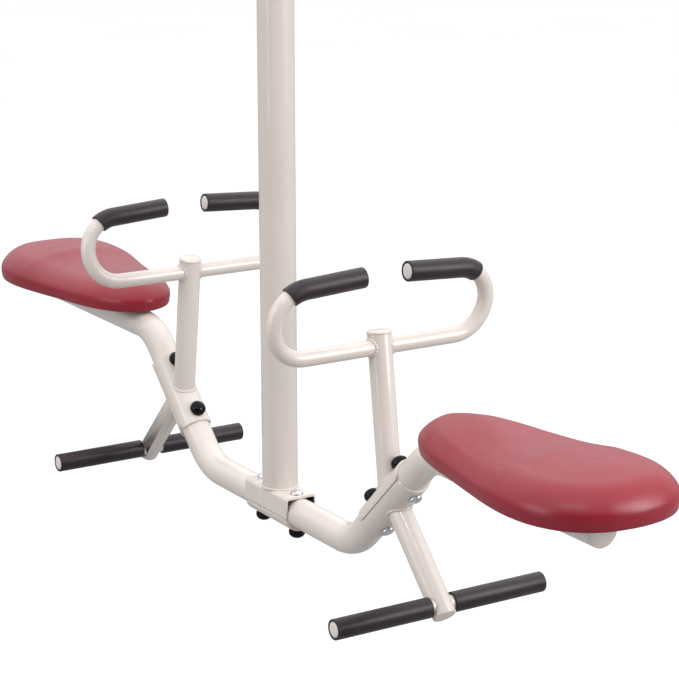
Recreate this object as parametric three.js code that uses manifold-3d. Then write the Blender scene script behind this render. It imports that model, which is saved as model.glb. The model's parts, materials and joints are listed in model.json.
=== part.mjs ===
// Two-rider glider swing: one round post hangs from a pivot bracket under a beam and carries a long
// bent seat tube, with a handlebar, a foot rest and a padded seat at each end.
// Millimetres, +Z up. X runs along the seat tube, Y across it.
// The origin is the middle of the hanger bracket's top face, and everything hangs below it.
import * as THREE from 'three';
import { mergeVertices } from 'three/addons/utils/BufferGeometryUtils.js';
import { ParametricGeometry } from 'three/addons/geometries/ParametricGeometry.js';
import Module from 'manifold-3d';

const wasm = await Module();
wasm.setup();

// ---------------------------------------------------------------- driving dimensions
const GAP = 0.3;                 // clearance between pieces that touch
const PIVOT_DROP = 62;           // hanger top face down to the pivot axis
const SWING_RADIUS = 1758;       // pivot axis down to the seat tube's centre line

const POST_R = 30.15;            // 60.3 mm hanging post
const POST_WALL = 3.6;
const POST_ABOVE_PIVOT = 36;
const SLEEVE_R = 21;             // pivot sleeve across the top of the post
const SLEEVE_HALF = 45;
const BUSH_R = 15;
const BUSH_FLANGE = 4;
const BOLT_R = 10;               // pivot bolt

const PLATE_X = 190;             // hanger plate
const PLATE_Y = 150;
const PLATE_T = 8;
const EAR_IN = SLEEVE_HALF + GAP + BUSH_FLANGE + GAP;
const EAR_T = 8;
const EAR_W = 76;
const PLATE_HOLE_R = 6.5;

const TUBE_R = 25.4;             // 50.8 mm seat tube
const TUBE_WALL = 3.2;
const TUBE_BEND_R = 102;
const SLOPE = THREE.MathUtils.degToRad(43.7);
const KINK_X = 240;              // where the level run and the slope meet, on centre lines
const RISE = 207;                // level run up to the seat run
const TUBE_END_X = 866;

const SADDLE_T = 3.6;            // clamp shells around the seat tube
const CLAMP_LEN = 150;
const CLAMP_AT = 155;            // along the slope from the kink
const CLAMP_BOLTS = 107;         // spacing of the two bolts in a clamp
const CENTRE_BOLTS = 110;
const CLAMP_BOLT_R = 5;
const BRACKET_IN = TUBE_R + GAP; // inside half width of the square bracket over the tube
const BRACKET_T = 3;
const BRACKET_TOP_T = 5;
const BRACKET_LEN = 138;
const CENTRE_SADDLE_T = 5.5;

const SHELL_OUT = (TUBE_R + GAP + SADDLE_T) / Math.cos(Math.PI / 16);   // to a shell's corners

const STEM_R = 19.05;            // 38.1 mm handlebar stem and foot-rest arm
const STEM_WALL = 2.6;
const STEM_LEAN = 0.1353;        // how far the stem leans in for each mm it rises
const BAR_X = 311;               // crossbar centre line
const BAR_Z = 341;
const STEM_TOP_Z = 362;
const BAR_R = 12.7;              // 25.4 mm handlebar and foot bar
const BAR_WALL = 2;
const BAR_TILT = THREE.MathUtils.degToRad(7.2);
const BAR_BEND_R = 56;
const BAR_STRAIGHT = 136.5;
const BAR_BEND = THREE.MathUtils.degToRad(176.5);
const BAR_INNER = 38;            // half the space between a handlebar's two ends
const GRIP_R = 16.2;
const GRIP_ARC = THREE.MathUtils.degToRad(31);

const FOOT_DROP = 186;           // seat tube centre line to the foot bar, square to the slope
const FOOT_HALF = 188;
const ARM_PAST = 20;             // arm's closed end beyond the foot bar's centre

const SEAT_NOSE_X = 470;
const SEAT_REAR_X = 950;
const SEAT_BASE_Z = 236.2;
const SEAT_BASE_T = 6;
const SEAT_BOLT_X = 705;
const SEAT_BOLT_Y = 44;
const CRADLE_HALF = 56;

// ---------------------------------------------------------------- materials
const paint = new THREE.MeshStandardMaterial({ color: 0xd9cdc2, roughness: 0.35, metalness: 0.1 });
const zinc = new THREE.MeshStandardMaterial({ color: 0xb9bcc0, roughness: 0.3, metalness: 1 });
const blackGloss = new THREE.MeshStandardMaterial({ color: 0x14100f, roughness: 0.25, metalness: 0 });
const foam = new THREE.MeshStandardMaterial({ color: 0x2a2528, roughness: 0.8, metalness: 0 });
const plugWhite = new THREE.MeshStandardMaterial({ color: 0xe6dfdc, roughness: 0.5, metalness: 0 });
const vinyl = new THREE.MeshStandardMaterial({ color: 0xa8343f, roughness: 0.5, metalness: 0 });
const nylon = new THREE.MeshStandardMaterial({ color: 0x26262a, roughness: 0.5, metalness: 0 });
const boardMat = new THREE.MeshStandardMaterial({ color: 0x2c2422, roughness: 0.6, metalness: 0 });

// ---------------------------------------------------------------- solids
function clean(geometry) {
  const g = geometry.clone();
  g.deleteAttribute('normal');
  g.deleteAttribute('uv');
  return mergeVertices(g, 1e-4);
}

function volumeOf(g) {
  const p = g.attributes.position.array;
  const t = g.index.array;
  let v = 0;
  for (let i = 0; i < t.length; i += 3) {
    const [a, b, c] = [t[i] * 3, t[i + 1] * 3, t[i + 2] * 3];
    v += p[a] * (p[b + 1] * p[c + 2] - p[b + 2] * p[c + 1])
       - p[a + 1] * (p[b] * p[c + 2] - p[b + 2] * p[c])
       + p[a + 2] * (p[b] * p[c + 1] - p[b + 1] * p[c]);
  }
  return v / 6;
}

// A closed three.js geometry as a manifold solid, faces turned outwards.
function solid(geometry) {
  const g = clean(geometry);
  const tri = Uint32Array.from(g.index.array);
  if (volumeOf(g) < 0) {
    for (let i = 0; i < tri.length; i += 3) [tri[i], tri[i + 1]] = [tri[i + 1], tri[i]];
  }
  const mesh = new wasm.Mesh({
    numProp: 3, vertProperties: Float32Array.from(g.attributes.position.array), triVerts: tri,
  });
  return new wasm.Manifold(mesh);
}

function geometryOf(manifold) {
  const m = manifold.getMesh();
  const g = new THREE.BufferGeometry();
  const xyz = new Float32Array((m.vertProperties.length / m.numProp) * 3);
  for (let i = 0; i < xyz.length / 3; i += 1) {
    for (let k = 0; k < 3; k += 1) xyz[i * 3 + k] = m.vertProperties[i * m.numProp + k];
  }
  g.setAttribute('position', new THREE.BufferAttribute(xyz, 3));
  g.setIndex(new THREE.BufferAttribute(Uint32Array.from(m.triVerts), 1));
  g.computeVertexNormals();
  return g;
}

function cut(body, ...tools) {
  return tools.reduce((b, t) => b.subtract(t), body);
}

function part(parent, name, manifold, material) {
  const mesh = new THREE.Mesh(geometryOf(manifold), material);
  mesh.name = name;
  parent.add(mesh);
  return mesh;
}

// ---------------------------------------------------------------- shapes
const V = (x, y, z) => new THREE.Vector3(x, y, z);

// Front is -Y in the finished swing. The left side is drawn like the right and then turned half round.
const ENDS = { right: [['front', -1], ['back', 1]], left: [['back', -1], ['front', 1]] };

// Cylinder from a to b.
function rod(r, a, b, sides = 20, r2 = r) {
  const d = b.clone().sub(a);
  const g = new THREE.CylinderGeometry(r2, r, d.length(), sides);
  g.applyQuaternion(new THREE.Quaternion().setFromUnitVectors(V(0, 1, 0), d.clone().normalize()));
  g.translate((a.x + b.x) / 2, (a.y + b.y) / 2, (a.z + b.z) / 2);
  return solid(g);
}

// Cutter whose flats, not its corners, lie at radius r, so a bore stays clear of what it holds.
function bore(r, a, b, sides = 16) {
  return rod(r / Math.cos(Math.PI / sides), a, b, sides);
}

function box(x0, x1, y0, y1, z0, z1) {
  const g = new THREE.BoxGeometry(x1 - x0, y1 - y0, z1 - z0);
  g.translate((x0 + x1) / 2, (y0 + y1) / 2, (z0 + z1) / 2);
  return solid(g);
}

// Turned piece: profile of [radius, height], on the axis at both ends, stood on `at` along `dir`.
function turned(profile, at, dir, sides = 20) {
  const g = new THREE.LatheGeometry(profile.map(([r, h]) => new THREE.Vector2(r, h)), sides);
  g.applyQuaternion(new THREE.Quaternion().setFromUnitVectors(V(0, 1, 0), dir.clone().normalize()));
  g.translate(at.x, at.y, at.z);
  return solid(g);
}

// A path with its own stations, so straight runs take one step and bends take several.
class StationPath extends THREE.Curve {
  constructor(points, tangents) {
    super();
    this.points = points;
    this.tangents = tangents;
  }

  at(list, t) {
    const s = Math.min(Math.max(t, 0), 1) * (list.length - 1);
    const i = Math.min(Math.floor(s + 1e-9), list.length - 2);
    return list[i].clone().lerp(list[i + 1], s - i);
  }

  getPoint(t) { return this.at(this.points, t); }

  getTangent(t) { return this.at(this.tangents, t).normalize(); }

  getUtoTmapping(u) { return u; }
}

// Walks straights ['s', length] and arcs ['a', radius, angle, steps] in the plane square to `normal`.
function walk(start, dir, normal, moves) {
  const points = [start.clone()];
  const tangents = [dir.clone()];
  let p = start.clone();
  let d = dir.clone();
  for (const [kind, size, angle, steps] of moves) {
    if (kind === 's') {
      p = p.clone().addScaledVector(d, size);
      points.push(p.clone());
      tangents.push(d.clone());
    } else {
      const turn = Math.sign(angle);
      const centre = p.clone().addScaledVector(normal.clone().cross(d).multiplyScalar(turn), size);
      const arm = p.clone().sub(centre);
      for (let k = 1; k <= steps; k += 1) {
        const a = (angle * k) / steps;
        points.push(centre.clone().add(arm.clone().applyAxisAngle(normal, a)));
        tangents.push(d.clone().applyAxisAngle(normal, a));
      }
      p = points[points.length - 1].clone();
      d = tangents[tangents.length - 1].clone();
    }
  }
  return { points, tangents };
}

// Both halves of a path that is alike either side of y = 0, from a half that starts on y = 0.
function mirrored(half) {
  const back = half.points.map((q) => V(q.x, -q.y, q.z)).reverse();
  const turn = half.tangents.map((q) => V(-q.x, q.y, -q.z)).reverse();
  back.pop();
  turn.pop();
  return { points: back.concat(half.points), tangents: turn.concat(half.tangents) };
}

// Tube (or bar, with no inner radius) along a path.
function tubeAlong({ points, tangents }, rOut, rIn, sides) {
  const ring = (r) => Array.from({ length: sides }, (_, i) => {
    const a = (2 * Math.PI * (i + 0.5)) / sides;
    return new THREE.Vector2(r * Math.cos(a), r * Math.sin(a));
  });
  const shape = new THREE.Shape(ring(rOut));
  if (rIn > 0) shape.holes.push(new THREE.Path(ring(rIn)));
  return solid(new THREE.ExtrudeGeometry(shape, {
    steps: points.length - 1, bevelEnabled: false, extrudePath: new StationPath(points, tangents),
  }));
}

// ---------------------------------------------------------------- common hardware
// Radius of a stub that goes into a bore with this many flats.
function stub(boreR, sides) {
  return boreR * Math.cos(Math.PI / sides) - GAP;
}

// Round zinc head with its shank; `at` is on the seating face and `dir` points out of the head.
function carriageBolt(at, dir, headR, headH, shankLen) {
  return turned([[0, headH], [headR * 0.7, headH * 0.72], [headR, headH * 0.12], [headR, 0],
    [CLAMP_BOLT_R, 0], [CLAMP_BOLT_R, -shankLen], [0, -shankLen]].reverse(), at, dir, 8);
}

// Domed nut cap, hollow where the bolt's end sits.
function domeCap(at, dir) {
  const r = 14;
  const ri = (CLAMP_BOLT_R + GAP) / Math.cos(Math.PI / 10);
  return turned([[0, 9], [ri, 9], [ri, 0], [r, 0], [r, 5], [r * 0.82, 10.8], [r * 0.42, 13.7],
    [0, 14.5]], at, dir, 10);
}

// Long straight cutter along the bolt.
function boltHole(at, dir, r = CLAMP_BOLT_R + GAP) {
  return bore(r, at.clone().addScaledVector(dir, -70), at.clone().addScaledVector(dir, 70), 6);
}

// Half shell around the seat tube: `mid` on the tube's axis, `along` its axis, `out` its middle.
function halfShell(mid, along, out, length, edge, wall = SADDLE_T) {
  const ri = TUBE_R + GAP;
  const ro = ri + wall;
  const shell = cut(bore(ro, mid.clone().addScaledVector(along, -length / 2),
    mid.clone().addScaledVector(along, length / 2), 16),
  bore(ri, mid.clone().addScaledVector(along, -length), mid.clone().addScaledVector(along, length), 16));
  const keep = new THREE.BoxGeometry(length * 2, 100, 100);
  keep.translate(0, 0, 50 + edge);
  const side = out.clone().cross(along);
  const frame = new THREE.Matrix4().makeBasis(along, side, out).setPosition(mid);
  keep.applyMatrix4(frame);
  return shell.intersect(solid(keep));
}

// ---------------------------------------------------------------- hanger under the beam
const model = new THREE.Group();

function hanger() {
  const g = new THREE.Group();
  let body = box(-PLATE_X / 2, PLATE_X / 2, -PLATE_Y / 2, PLATE_Y / 2, -PLATE_T, 0);
  const shape = new THREE.Shape();
  shape.moveTo(-EAR_W / 2 - 12, -PLATE_T + 1);
  shape.lineTo(EAR_W / 2 + 12, -PLATE_T + 1);
  const low = -PIVOT_DROP;
  for (let k = 0; k <= 10; k += 1) {
    const a = (-Math.PI * k) / 10;
    shape.lineTo(28 * Math.cos(a), low + 28 * Math.sin(a));
  }
  shape.closePath();
  for (const side of [-1, 1]) {
    const ear = new THREE.ExtrudeGeometry(shape, { depth: EAR_T, bevelEnabled: false });
    ear.rotateX(Math.PI / 2);
    ear.translate(0, side > 0 ? EAR_IN + EAR_T : -EAR_IN, 0);
    body = body.add(solid(ear));
  }
  body = cut(body, bore(BOLT_R + GAP, V(0, -90, -PIVOT_DROP), V(0, 90, -PIVOT_DROP), 16));
  for (const x of [-1, 1]) {
    for (const y of [-1, 1]) {
      body = cut(body, bore(PLATE_HOLE_R, V(x * 78, y * 40, -20), V(x * 78, y * 40, 20), 12));
    }
  }
  part(g, 'hanger_bracket', body, paint);
  pivotBolt(g);
  return g;
}

// Flange bolt across the ears with its flange nut.
function pivotBolt(g) {
  const y = EAR_IN + EAR_T + GAP;
  const z = -PIVOT_DROP;
  const ring = (side) => rod(20, V(0, side * y, z), V(0, side * (y + 3.5), z), 16);
  const head = rod(16.5, V(0, -y - 15, z), V(0, -y - 2, z), 6).add(ring(-1));
  const shank = rod(BOLT_R, V(0, -y - 2, z), V(0, y + 26, z), 16);
  part(g, 'pivot_bolt', head.add(shank), zinc);
  const nut = rod(16.5, V(0, y + 2, z), V(0, y + 21, z), 6).add(ring(1));
  part(g, 'pivot_nut', cut(nut, bore(BOLT_R + GAP, V(0, y - 4, z), V(0, y + 40, z), 16)), zinc);
}

// ---------------------------------------------------------------- post and centre clamp
// The glider is drawn about the middle of the seat tube's level run.
const PIVOT_Z = SWING_RADIUS;

function post(g) {
  const foot = BRACKET_IN + BRACKET_TOP_T + GAP;
  const top = PIVOT_Z + POST_ABOVE_PIVOT;
  const tube = cut(rod(POST_R, V(0, 0, foot), V(0, 0, top), 24),
    rod(POST_R - POST_WALL, V(0, 0, foot - 5), V(0, 0, top - 5), 24),
    bore(SLEEVE_R + GAP, V(0, -80, PIVOT_Z), V(0, 80, PIVOT_Z), 20));
  part(g, 'main_post', tube, paint);
  const sleeve = cut(rod(SLEEVE_R, V(0, -SLEEVE_HALF, PIVOT_Z), V(0, SLEEVE_HALF, PIVOT_Z), 20),
    bore(BUSH_R + GAP, V(0, -80, PIVOT_Z), V(0, 80, PIVOT_Z), 16));
  part(g, 'pivot_sleeve', sleeve, paint);
  for (const [name, side] of [['pivot_bushing_front', -1], ['pivot_bushing_back', 1]]) {
    const inner = rod(BUSH_R, V(0, side * 15, PIVOT_Z), V(0, side * (SLEEVE_HALF + 2), PIVOT_Z), 16);
    const flange = rod(SLEEVE_R - 1, V(0, side * (SLEEVE_HALF + GAP), PIVOT_Z),
      V(0, side * (SLEEVE_HALF + GAP + BUSH_FLANGE), PIVOT_Z), 16);
    const hole = bore(BOLT_R + GAP, V(0, side * 5, PIVOT_Z), V(0, side * 70, PIVOT_Z), 16);
    part(g, name, cut(inner.add(flange), hole), nylon);
  }
}

// Square channel, open below, that sits over the tube under the post.
function centreBracket() {
  const o = BRACKET_IN + BRACKET_T;
  const top = BRACKET_IN + BRACKET_TOP_T;
  const i = BRACKET_IN;
  const r = 6;
  const shape = new THREE.Shape();
  shape.moveTo(-o, -5.5);
  shape.lineTo(-o, top - r);
  shape.quadraticCurveTo(-o, top, -o + r, top);
  shape.lineTo(o - r, top);
  shape.quadraticCurveTo(o, top, o, top - r);
  shape.lineTo(o, -5.5);
  shape.lineTo(i, -5.5);
  shape.lineTo(i, i - 2);
  shape.lineTo(i - 2, i);
  shape.lineTo(-i + 2, i);
  shape.lineTo(-i, i - 2);
  shape.lineTo(-i, -5.5);
  shape.closePath();
  const g = new THREE.ExtrudeGeometry(shape, { depth: BRACKET_LEN, bevelEnabled: false, curveSegments: 3 });
  g.rotateX(Math.PI / 2);
  g.rotateZ(Math.PI / 2);
  g.translate(-BRACKET_LEN / 2, 0, 0);
  return solid(g);
}

function centreClamp(g) {
  const up = V(0, 0, 1);
  let bracket = centreBracket();
  let saddle = halfShell(V(0, 0, 0), V(1, 0, 0), V(0, 0, -1), BRACKET_LEN - 2, 6, CENTRE_SADDLE_T);
  const topFace = BRACKET_IN + BRACKET_TOP_T + GAP;
  const lowFace = -(TUBE_R + GAP + CENTRE_SADDLE_T) / Math.cos(Math.PI / 16);
  for (const [tag, x] of [['left', -CENTRE_BOLTS / 2], ['right', CENTRE_BOLTS / 2]]) {
    const hole = boltHole(V(x, 0, 0), up);
    bracket = cut(bracket, hole);
    saddle = cut(saddle, hole);
    part(g, `centre_bolt_${tag}`, carriageBolt(V(x, 0, topFace), up, 11, 6, topFace - lowFace + 8), zinc);
    part(g, `centre_cap_${tag}`, domeCap(V(x, 0, lowFace - GAP), V(0, 0, -1)), blackGloss);
  }
  part(g, 'centre_bracket', bracket, paint);
  part(g, 'centre_saddle', saddle, paint);
}

// ---------------------------------------------------------------- seat tube
const UP_DIR = V(Math.cos(SLOPE), 0, Math.sin(SLOPE));       // up the right-hand slope
const UP_NORMAL = V(-Math.sin(SLOPE), 0, Math.cos(SLOPE));   // square to it, on its upper side
const CLAMP_MID = V(KINK_X, 0, 0).addScaledVector(UP_DIR, CLAMP_AT);

function clampBoltPoints() {
  return [-1, 1].map((s) => CLAMP_MID.clone().addScaledVector(UP_DIR, (s * CLAMP_BOLTS) / 2));
}

function seatTube(g) {
  const tangent = TUBE_BEND_R * Math.tan(SLOPE / 2);
  const slopeLen = RISE / Math.sin(SLOPE);
  const topX = KINK_X + RISE / Math.tan(SLOPE);
  const runs = [
    ['s', TUBE_END_X - topX - tangent], ['a', TUBE_BEND_R, SLOPE, 4], ['s', slopeLen - 2 * tangent],
    ['a', TUBE_BEND_R, -SLOPE, 4], ['s', 2 * (KINK_X - tangent)], ['a', TUBE_BEND_R, -SLOPE, 4],
    ['s', slopeLen - 2 * tangent], ['a', TUBE_BEND_R, SLOPE, 4], ['s', TUBE_END_X - topX - tangent],
  ];
  const path = walk(V(-TUBE_END_X, 0, RISE), V(1, 0, 0), V(0, 1, 0), runs);
  let tube = tubeAlong(path, TUBE_R, TUBE_R - TUBE_WALL, 16);
  for (const x of [-CENTRE_BOLTS / 2, CENTRE_BOLTS / 2]) tube = cut(tube, boltHole(V(x, 0, 0), V(0, 0, 1)));
  for (const q of clampBoltPoints()) {
    tube = cut(tube, boltHole(q, UP_NORMAL));
    tube = cut(tube, boltHole(V(-q.x, 0, q.z), V(-UP_NORMAL.x, 0, UP_NORMAL.z)));
  }
  part(g, 'seat_tube', tube, paint);
}

// ---------------------------------------------------------------- one rider's side, at +X
// Cylinder along the sloping run: the tube's own space, or the shells' outside with their wall.
function alongSlope(wall) {
  return bore(TUBE_R + GAP + wall, CLAMP_MID.clone().addScaledVector(UP_DIR, -140),
    CLAMP_MID.clone().addScaledVector(UP_DIR, 140), 16);
}

function handlebarStem(g, side) {
  const axis = V(-STEM_LEAN, 0, 1).normalize();
  const at = (z) => V(BAR_X - STEM_LEAN * (z - BAR_Z), 0, z);
  let body = halfShell(CLAMP_MID, UP_DIR, UP_NORMAL, CLAMP_LEN, 0.6);
  body = body.add(rod(STEM_R, at(98), at(STEM_TOP_Z), 16));
  const inside = cut(rod(STEM_R - STEM_WALL, at(60), at(STEM_TOP_Z + 30), 16), alongSlope(SADDLE_T));
  body = cut(body, inside, alongSlope(0));
  for (const q of clampBoltPoints()) body = cut(body, boltHole(q, UP_NORMAL));
  body = cut(body, bore(BAR_R + GAP, V(BAR_X, -60, BAR_Z), V(BAR_X, 60, BAR_Z), 12));
  part(g, `handlebar_stem_${side}`, body, paint);
  const r = stub(STEM_R - STEM_WALL, 16);
  const lid = turned([[0, -6], [r, -6], [r, 0],
    [STEM_R + 0.9, 0], [STEM_R + 0.9, 3.6], [0, 5.6]],
  at(STEM_TOP_Z).addScaledVector(axis, GAP), axis, 16);
  part(g, `stem_cap_${side}`, lid, paint);
}

function handlebar(g, side) {
  const rise = V(Math.sin(BAR_TILT), 0, Math.cos(BAR_TILT));
  const normal = V(0, 1, 0).cross(rise);
  const half = walk(V(BAR_X, 0, BAR_Z), V(0, 1, 0), normal, [['s', BAR_STRAIGHT],
    ['a', BAR_BEND_R, BAR_BEND - GRIP_ARC, 6], ['a', BAR_BEND_R, GRIP_ARC, 3],
    ['s', BAR_STRAIGHT - BAR_INNER]]);
  const full = mirrored(half);
  part(g, `handlebar_${side}`, tubeAlong(full, BAR_R, BAR_R - BAR_WALL, 10), paint);
  const n = half.points.length;
  const last = 5;                // the bend's last steps and the straight that a grip covers
  const back = { points: half.points.slice(n - last), tangents: half.tangents.slice(n - last) };
  const flip = (q, s) => V(q.x, s * q.y, q.z);
  for (const [tag, s] of ENDS[side]) {
    const path = {
      points: back.points.map((q) => flip(q, s)), tangents: back.tangents.map((q) => flip(q, s)),
    };
    part(g, `grip_${side}_${tag}`, tubeAlong(path, GRIP_R, (BAR_R + GAP) / Math.cos(Math.PI / 12), 12), foam);
    const end = path.points[last - 1];
    const out = path.tangents[last - 1];
    part(g, `grip_plug_${side}_${tag}`, endPlug(end, out), plugWhite);
  }
}

// Push-in plug for a 25.4 mm tube: a stub inside and a thin disc over the tube's end.
function endPlug(end, out) {
  const r = stub(BAR_R - BAR_WALL, 10);
  return turned([[0, -12], [r, -12], [r, GAP],
    [BAR_R, GAP], [BAR_R, 2.2], [0, 3]], end, out, 10);
}

function footRest(g, side) {
  const down = UP_NORMAL.clone().negate();
  const bar = CLAMP_MID.clone().addScaledVector(down, FOOT_DROP);
  const foot = bar.clone().addScaledVector(down, ARM_PAST);
  let body = halfShell(CLAMP_MID, UP_DIR, down, CLAMP_LEN, 0.6);
  body = body.add(rod(STEM_R, CLAMP_MID.clone().addScaledVector(down, 15), foot, 16));
  const hollow = cut(rod(STEM_R - STEM_WALL, CLAMP_MID.clone().addScaledVector(down, 10),
    foot.clone().addScaledVector(down, -3), 16), alongSlope(SADDLE_T));
  body = cut(body, hollow, alongSlope(0));
  for (const q of clampBoltPoints()) body = cut(body, boltHole(q, UP_NORMAL));
  body = cut(body, bore(BAR_R + GAP, V(bar.x, -60, bar.z), V(bar.x, 60, bar.z), 12));
  part(g, `footrest_arm_${side}`, body, paint);
  const tube = cut(rod(BAR_R, V(bar.x, -FOOT_HALF, bar.z), V(bar.x, FOOT_HALF, bar.z), 12),
    rod(BAR_R - BAR_WALL, V(bar.x, -300, bar.z), V(bar.x, 300, bar.z), 12));
  part(g, `foot_bar_${side}`, tube, paint);
  for (const [tag, s] of ENDS[side]) {
    const a = V(bar.x, s * (STEM_R + 1.5), bar.z);
    const b = V(bar.x, s * FOOT_HALF, bar.z);
    const sleeve = cut(rod(GRIP_R, a, b, 14),
      bore(BAR_R + GAP, V(bar.x, s * 5, bar.z), V(bar.x, s * 300, bar.z), 14));
    part(g, `foot_sleeve_${side}_${tag}`, sleeve, foam);
    part(g, `foot_plug_${side}_${tag}`, endPlug(b, V(0, s, 0)), plugWhite);
  }
}

function clampHardware(g, side) {
  const face = SHELL_OUT + GAP;
  const down = UP_NORMAL.clone().negate();
  clampBoltPoints().forEach((q, i) => {
    const tag = ['lower', 'upper'][i];
    const head = q.clone().addScaledVector(down, face);
    const cap = q.clone().addScaledVector(UP_NORMAL, face);
    part(g, `clamp_bolt_${side}_${tag}`, carriageBolt(head, down, 11, 6, 2 * face + 7), zinc);
    part(g, `clamp_cap_${side}_${tag}`, domeCap(cap, UP_NORMAL), blackGloss);
  });
}

// ---------------------------------------------------------------- seat
// The seat along its length, each as [share of the length from the nose, millimetres].
const SEAT_PLAN = [[0, 0], [0.012, 22], [0.05, 49], [0.12, 71], [0.22, 88], [0.36, 101], [0.5, 114],
  [0.62, 124], [0.73, 127], [0.82, 121], [0.9, 104], [0.955, 79], [0.985, 50], [0.997, 22], [1, 0]];
const SEAT_SHOULDER = [[0, 41], [0.5, 37.5], [0.63, 41], [0.85, 49], [1, 51]];
const SEAT_MIDDLE = [[0, 41], [0.42, 41], [0.63, 50], [0.85, 52.5], [1, 51]];
// Its side, from the underside up: distance in from the widest outline and share of the height.
const SEAT_SIDE = [[3, 0], [0, 0.18], [6, 0.5], [19, 0.8], [44, 1]];
const SEAT_LENGTH = SEAT_REAR_X - SEAT_NOSE_X;
const SPINE = [SEAT_NOSE_X + 72, SEAT_REAR_X - 96];   // where the seat's middle line starts and ends

function between(table, t) {
  const i = Math.max(table.findIndex(([s]) => s >= t), 1);
  const [[s0, v0], [s1, v1]] = [table[i - 1], table[i]];
  return v0 + ((v1 - v0) * (t - s0)) / (s1 - s0);
}

// Widest outline, nose to rear up one side and back down the other.
const SEAT_OUTLINE = (() => {
  const line = SEAT_PLAN.map(([t, w]) => new THREE.Vector2(SEAT_NOSE_X + t * SEAT_LENGTH, w));
  return line.concat(line.slice(1, -1).reverse().map((q) => new THREE.Vector2(q.x, -q.y)));
})();

// A point of the outline moved in towards the seat's middle line.
function seatPoint(q, inset) {
  const spine = new THREE.Vector2(Math.min(Math.max(q.x, SPINE[0]), SPINE[1]), 0);
  const reach = q.distanceTo(spine);
  return q.clone().lerp(spine, Math.min(inset / reach, 1));
}

// Cushion: drawn from the middle of its underside, out to the rim, up the rounded side and in over
// the top to the middle line. The nose half lies lower, and the top steps up to the rear half.
function cushion() {
  const z0 = SEAT_BASE_Z + SEAT_BASE_T + GAP;
  const rows = [[1000, 0], ...SEAT_SIDE, [1000, 1]];
  const n = SEAT_OUTLINE.length;
  const surface = (u, v, target) => {
    const row = Math.round(v * (rows.length - 1));
    const [inset, share] = rows[row];
    const q = seatPoint(SEAT_OUTLINE[Math.round(u * n) % n], inset);
    const t = (q.x - SEAT_NOSE_X) / SEAT_LENGTH;
    const table = row === rows.length - 1 ? SEAT_MIDDLE : SEAT_SHOULDER;
    const height = between(table, Math.min(Math.max(t, 0), 1));
    target.set(q.x, q.y, z0 + share * height);
  };
  return solid(new ParametricGeometry(surface, n, rows.length - 1));
}

function seat(g, side) {
  const z = SEAT_BASE_Z;
  const outline = new THREE.Shape(SEAT_OUTLINE.map((q) => seatPoint(q, 1)));
  const board = new THREE.ExtrudeGeometry(outline, { depth: SEAT_BASE_T, bevelEnabled: false });
  board.translate(0, 0, z);
  let base = solid(board);
  // Steel cradle welded along the top of the tube: a flat plate with a rib down each side. A bolt
  // goes up through the plate on either side of the tube.
  const top = RISE + TUBE_R;
  let cradle = box(560, 850, -CRADLE_HALF, CRADLE_HALF, top + GAP, z - GAP);
  for (const s of [-1, 1]) {
    const y = s * (TUBE_R + GAP + 2);
    cradle = cradle.add(box(575, 835, Math.min(y, y + s * 4), Math.max(y, y + s * 4), top - 14, top + 2));
  }
  for (const [tag, s] of ENDS[side]) {
    const hole = boltHole(V(SEAT_BOLT_X, s * SEAT_BOLT_Y, z), V(0, 0, 1));
    base = cut(base, hole);
    cradle = cradle.subtract(hole);
    const head = V(SEAT_BOLT_X, s * SEAT_BOLT_Y, top);
    const bolt = carriageBolt(head, V(0, 0, -1), 9, 5, z + SEAT_BASE_T - top - 0.5);
    part(g, `seat_bolt_${side}_${tag}`, bolt, zinc);
  }
  part(g, `seat_cradle_${side}`, cradle, paint);
  part(g, `seat_board_${side}`, base, boardMat);
  part(g, `seat_cushion_${side}`, cushion(), vinyl);
  const r = stub(TUBE_R - TUBE_WALL, 16);
  const plug = turned([[0, -14], [r, -14], [r, GAP],
    [TUBE_R, GAP], [TUBE_R, 3.4], [0, 4.4]], V(TUBE_END_X, 0, RISE), V(1, 0, 0), 16);
  part(g, `seat_tube_cap_${side}`, plug, paint);
}

// ---------------------------------------------------------------- the whole swing
model.add(hanger());

const glider = new THREE.Group();
glider.position.z = -PIVOT_DROP - SWING_RADIUS;
post(glider);
centreClamp(glider);
seatTube(glider);
for (const [side, turn] of [['right', 0], ['left', Math.PI]]) {
  const end = new THREE.Group();
  end.rotation.z = turn;
  handlebarStem(end, side);
  handlebar(end, side);
  footRest(end, side);
  clampHardware(end, side);
  seat(end, side);
  glider.add(end);
}
model.add(glider);

export default model;
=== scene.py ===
"""Looks for the two-rider glider swing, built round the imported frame. Lengths in the shape code are
millimetres about the middle of the seat tube's level run; place() turns them into the row frame."""
import json
import math

import bmesh
import bpy
import numpy as np
from mathutils import Matrix, Vector


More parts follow.
